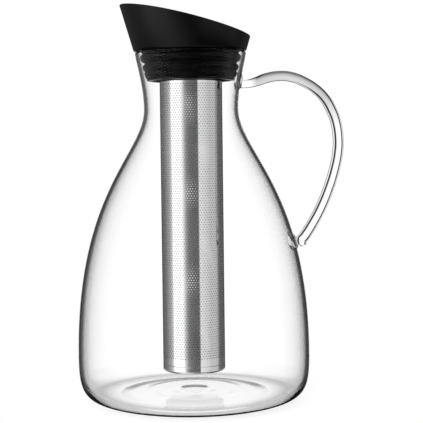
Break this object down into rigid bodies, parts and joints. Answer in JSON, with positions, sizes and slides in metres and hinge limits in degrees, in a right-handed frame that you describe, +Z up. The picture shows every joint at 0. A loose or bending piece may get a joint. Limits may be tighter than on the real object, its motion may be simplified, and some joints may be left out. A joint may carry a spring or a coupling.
{
  "type": "iced tea maker",
  "caption": "Bell-shaped glass carafe with a welded loop handle, a slanted black pouring lid with a drip flap, and a pierced steel infuser hanging from the lid.",
  "frame": {"origin": "on the table, under the middle of the whole outline; the carafe's own axis is 12.1 mm towards -X from it, because the handle reaches further out than the body", "axes": "+Z up, -X towards the pouring spout, +X towards the handle, Y across; the part is its own mirror image in Y"},
  "size_m": [0.1784, 0.1542, 0.2617],
  "materials": {
    "borosilicate_glass": "clear, polished",
    "black_plastic": "satin",
    "black_silicone": "matte",
    "stainless_steel": "satin"
  },
  "bodies": {
    "carafe": {"carafe_glass": "borosilicate_glass", "handle_glass": "borosilicate_glass"},
    "lid": {"pouring_collar": "black_plastic", "stopper_core": "black_plastic", "stopper_sleeve": "black_silicone", "infuser_seal_ring": "black_silicone", "flap_hinge_pin": "stainless_steel"},
    "flap": {"pour_flap": "black_plastic", "flap_seal": "black_silicone"},
    "infuser": {"infuser_tube": "stainless_steel", "infuser_end_cap": "stainless_steel"}
  },
  "joints": [
    {"name": "lid_lift", "type": "slide", "parent": "carafe", "child": "lid", "axis": [0, 0, 1], "range_m": [0, 0.22]},
    {"name": "flap_swing", "type": "hinge", "parent": "lid", "child": "flap", "pos_m": [-0.01609, 0, 0.2356], "axis": [0, 1, 0], "range_deg": [0, 58]},
    {"name": "infuser_pull", "type": "slide", "parent": "lid", "child": "infuser", "axis": [0, 0, -1], "range_m": [0, 0.009]}
  ]
}
